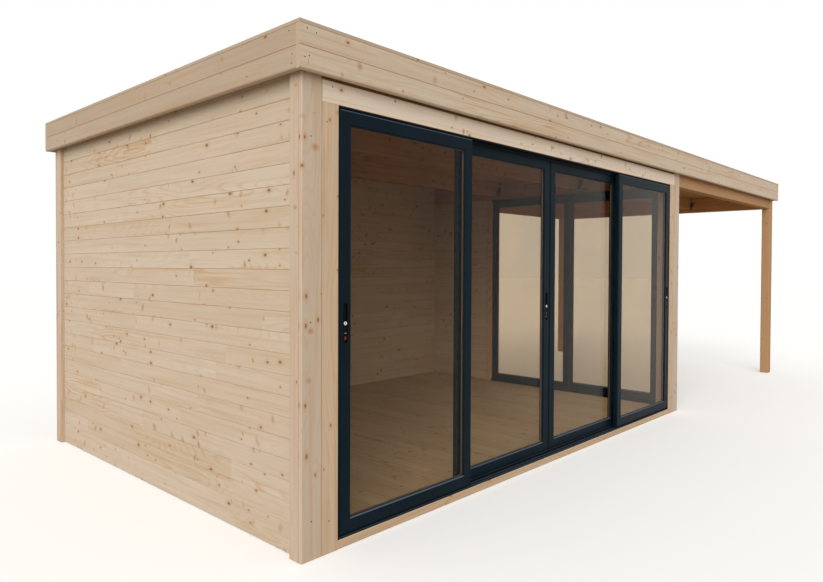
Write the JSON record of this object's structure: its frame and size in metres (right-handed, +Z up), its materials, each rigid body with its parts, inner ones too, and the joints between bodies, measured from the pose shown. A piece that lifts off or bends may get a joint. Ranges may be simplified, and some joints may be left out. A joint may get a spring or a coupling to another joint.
{
  "type": "garden house with canopy",
  "caption": "Flat-roofed boarded timber garden room with sliding glass doors on its front and side, and an open post-and-beam canopy bay beside it.",
  "frame": {"origin": "on the ground under the middle of the whole plan", "axes": "+X along the front towards the canopy bay, +Y from the front to the back, +Z up"},
  "size_m": [8.09, 3.31, 2.556],
  "materials": {
    "planed_spruce": "planed bare spruce with eased edges, small knots and fine nail heads",
    "wall_boards": "tongued spruce boards laid level, with v joints",
    "floor_boards": "planed spruce floor boards",
    "roof_timber": "sawn and planed spruce, shaded",
    "anthracite_aluminium": "satin powder coat, dark blue grey",
    "glazing": "clear sealed double glazing",
    "hanger_steel": "dull zinc-coated folded steel",
    "roof_sheet": "matt black roofing sheet"
  },
  "bodies": {
    "house": {"back_left_post": "planed_spruce", "back_right_post": "planed_spruce", "back_wall": "wall_boards", "base_cross_beams": "planed_spruce", "base_long_beams": "planed_spruce", "canopy_end_beam": "planed_spruce", "canopy_long_beams": "planed_spruce", "canopy_posts": "planed_spruce", "canopy_purlins": "roof_timber", "end_caps": "planed_spruce", "end_fascias": "planed_spruce", "floor_deck": "floor_boards", "front_beam": "planed_spruce", "front_door_sides": "anthracite_aluminium", "front_door_tracks": "anthracite_aluminium", "front_jambs": "planed_spruce", "front_left_post": "planed_spruce", "front_lintel": "planed_spruce", "front_right_post": "planed_spruce", "house_purlins": "roof_timber", "joist_hangers": "hanger_steel", "left_wall": "wall_boards", "long_caps": "planed_spruce", "long_fascias": "planed_spruce", "parapet_end_kerbs": "roof_timber", "parapet_long_kerbs": "roof_timber", "right_beam": "planed_spruce", "right_wall": "wall_boards", "roof_deck": "roof_timber", "roof_membrane": "roof_sheet", "side_door_sides": "anthracite_aluminium", "side_door_tracks": "anthracite_aluminium", "side_jambs": "planed_spruce"},
    "front_leaf_1": {"front_leaf_1": "anthracite_aluminium", "front_glass_1": "glazing"},
    "front_leaf_2": {"front_leaf_2": "anthracite_aluminium", "front_glass_2": "glazing"},
    "front_leaf_3": {"front_leaf_3": "anthracite_aluminium", "front_glass_3": "glazing"},
    "front_leaf_4": {"front_leaf_4": "anthracite_aluminium", "front_glass_4": "glazing"},
    "side_leaf_1": {"side_leaf_1": "anthracite_aluminium", "side_glass_1": "glazing"},
    "side_leaf_2": {"side_leaf_2": "anthracite_aluminium", "side_glass_2": "glazing"}
  },
  "joints": [
    {"name": "front_leaf_1_slide", "type": "slide", "parent": "house", "child": "front_leaf_1", "axis": [1, 0, 0], "range_m": [0, 1]},
    {"name": "front_leaf_2_slide", "type": "slide", "parent": "house", "child": "front_leaf_2", "axis": [-1, 0, 0], "range_m": [0, 1]},
    {"name": "front_leaf_3_slide", "type": "slide", "parent": "house", "child": "front_leaf_3", "axis": [1, 0, 0], "range_m": [0, 1]},
    {"name": "front_leaf_4_slide", "type": "slide", "parent": "house", "child": "front_leaf_4", "axis": [-1, 0, 0], "range_m": [0, 1]},
    {"name": "side_leaf_1_slide", "type": "slide", "parent": "house", "child": "side_leaf_1", "axis": [0, 1, 0], "range_m": [0, 0.95]},
    {"name": "side_leaf_2_slide", "type": "slide", "parent": "house", "child": "side_leaf_2", "axis": [0, -1, 0], "range_m": [0, 0.95]}
  ]
}
